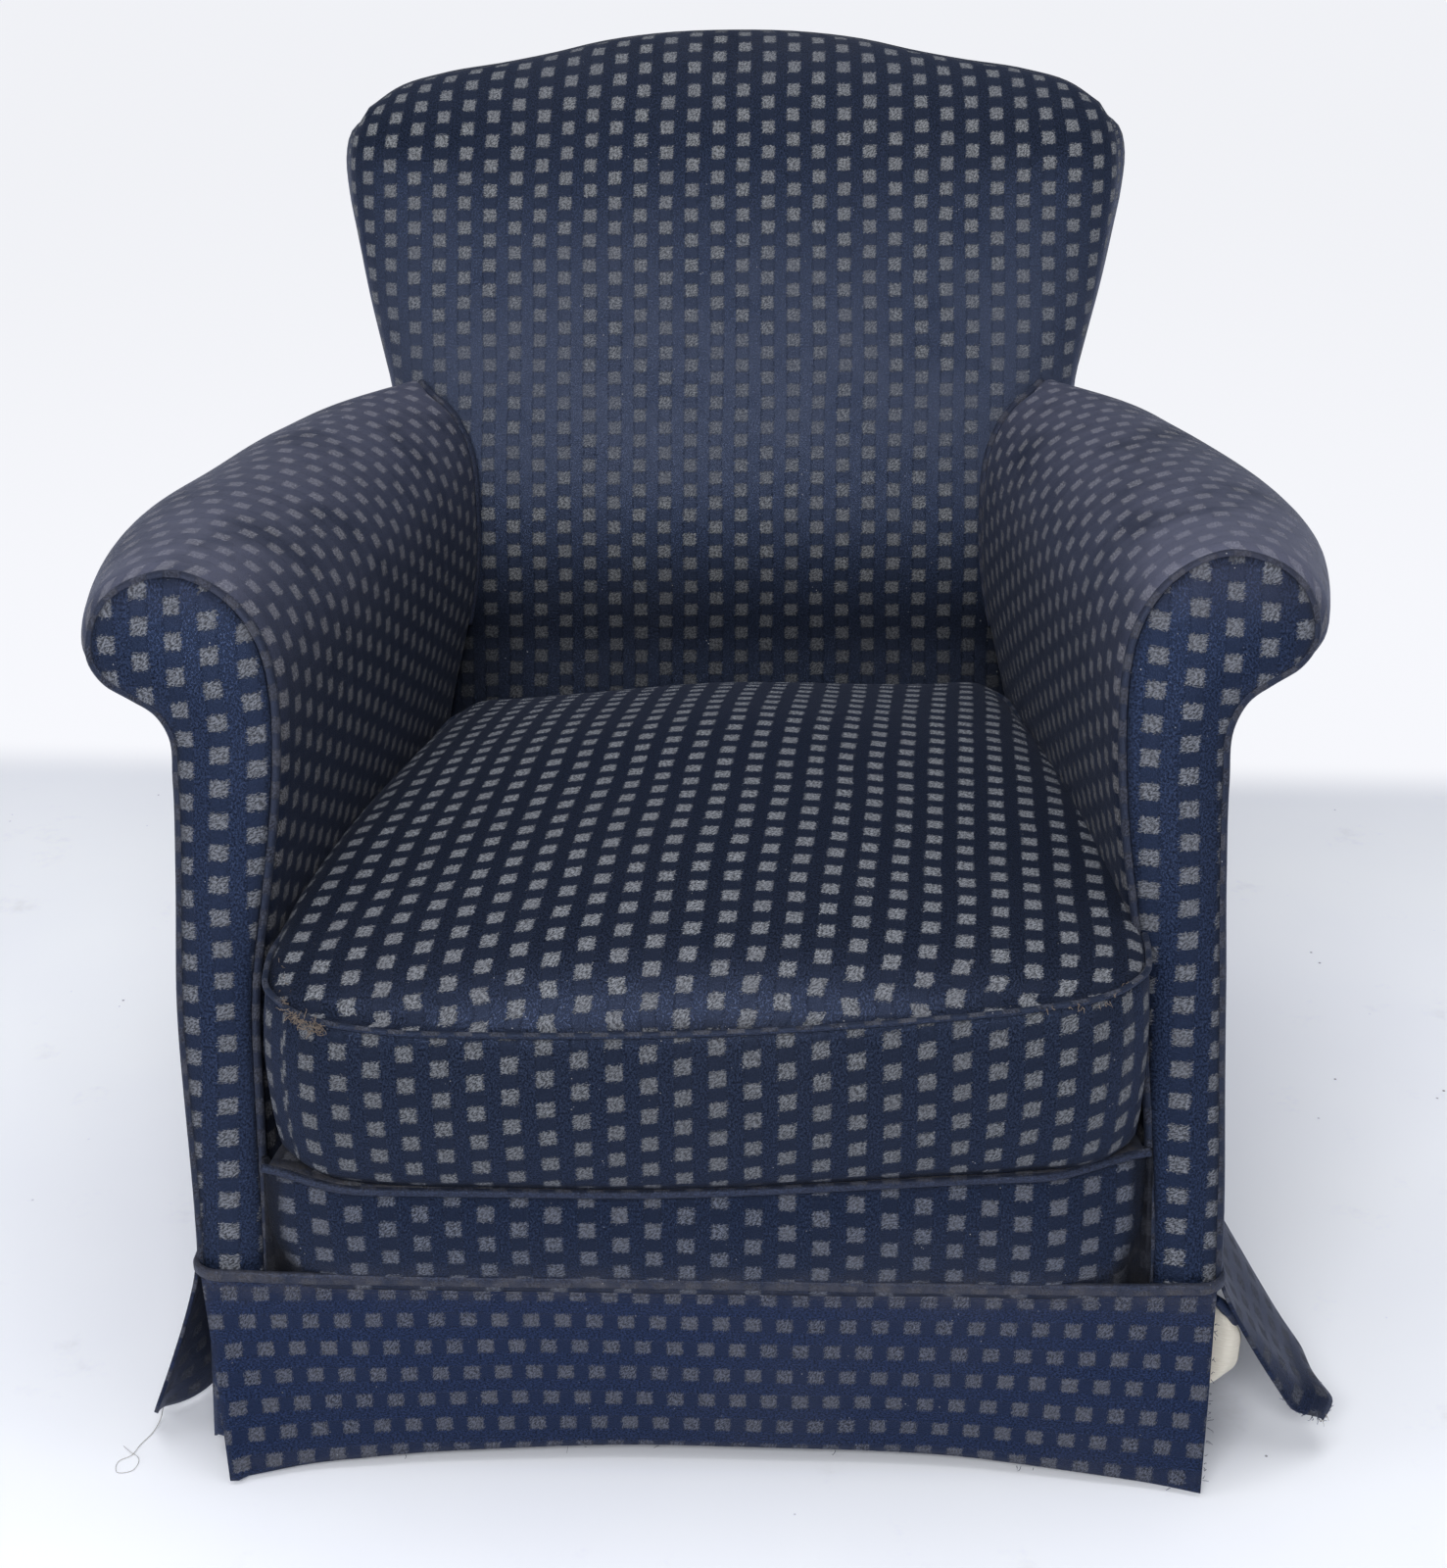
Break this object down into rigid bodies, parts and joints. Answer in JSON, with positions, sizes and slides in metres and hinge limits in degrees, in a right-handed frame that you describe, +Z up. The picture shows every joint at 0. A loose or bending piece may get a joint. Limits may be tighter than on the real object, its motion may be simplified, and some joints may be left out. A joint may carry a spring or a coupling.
{
  "type": "armchair",
  "caption": "Low upholstered armchair with rolled arms, a raked camel-shaped back, a loose sagging seat cushion and a pleated skirt that has swung out at the front corners.",
  "frame": {"origin": "middle of the footprint, on the floor", "axes": "the chair faces -Y, +Z is up, and +X is to the right as seen from in front of it"},
  "size_m": [0.8026, 0.8408, 0.85],
  "materials": {
    "navy_cloth": "jacquard weave, dark blue with small taupe squares, worn and dusty",
    "navy_piping": "cord covered in the same cloth",
    "frame_wood": "bare sawn beech",
    "spring_steel": "dull drawn wire",
    "webbing": "coarse jute",
    "calico": "unbleached plain weave"
  },
  "bodies": {
    "root": {"arm_back_welt_left": "navy_piping", "arm_back_welt_right": "navy_piping", "arm_facing_left": "navy_cloth", "arm_facing_right": "navy_cloth", "arm_facing_welt_left": "navy_piping", "arm_facing_welt_right": "navy_piping", "arm_pad_left": "navy_cloth", "arm_pad_right": "navy_cloth", "arm_rail_left": "frame_wood", "arm_rail_right": "frame_wood", "arm_tack_rail_left": "frame_wood", "arm_tack_rail_right": "frame_wood", "back_lower_rail": "frame_wood", "back_pad": "navy_cloth", "back_post_left": "frame_wood", "back_post_right": "frame_wood", "back_strap_lower": "webbing", "back_strap_middle": "webbing", "back_strap_upper": "webbing", "calico_lining": "calico", "corner_block_front_left": "frame_wood", "corner_block_front_right": "frame_wood", "corner_block_rear_left": "frame_wood", "corner_block_rear_right": "frame_wood", "crest_rail": "frame_wood", "cushion_welt_bottom": "navy_piping", "cushion_welt_top": "navy_piping", "foot_front_left": "frame_wood", "foot_front_right": "frame_wood", "foot_rear_left": "frame_wood", "foot_rear_right": "frame_wood", "front_border": "navy_cloth", "front_post_left": "frame_wood", "front_post_right": "frame_wood", "front_rail": "frame_wood", "outside_arm_left": "navy_cloth", "outside_arm_right": "navy_cloth", "outside_back": "navy_cloth", "outside_back_welt": "navy_piping", "platform_welt": "navy_piping", "rear_rail": "frame_wood", "seat_cushion": "navy_cloth", "seat_deck": "navy_cloth", "seat_spring_1": "spring_steel", "seat_spring_2": "spring_steel", "seat_spring_3": "spring_steel", "seat_spring_4": "spring_steel", "side_rail_left": "frame_wood", "side_rail_right": "frame_wood", "skirt_back": "navy_cloth", "skirt_front": "navy_cloth", "skirt_left": "navy_cloth", "skirt_right": "navy_cloth", "skirt_underlay_front_left": "navy_cloth", "skirt_underlay_front_right": "navy_cloth", "skirt_underlay_rear_left": "navy_cloth", "skirt_underlay_rear_right": "navy_cloth", "skirt_welt": "navy_piping"}
  },
  "joints": []
}
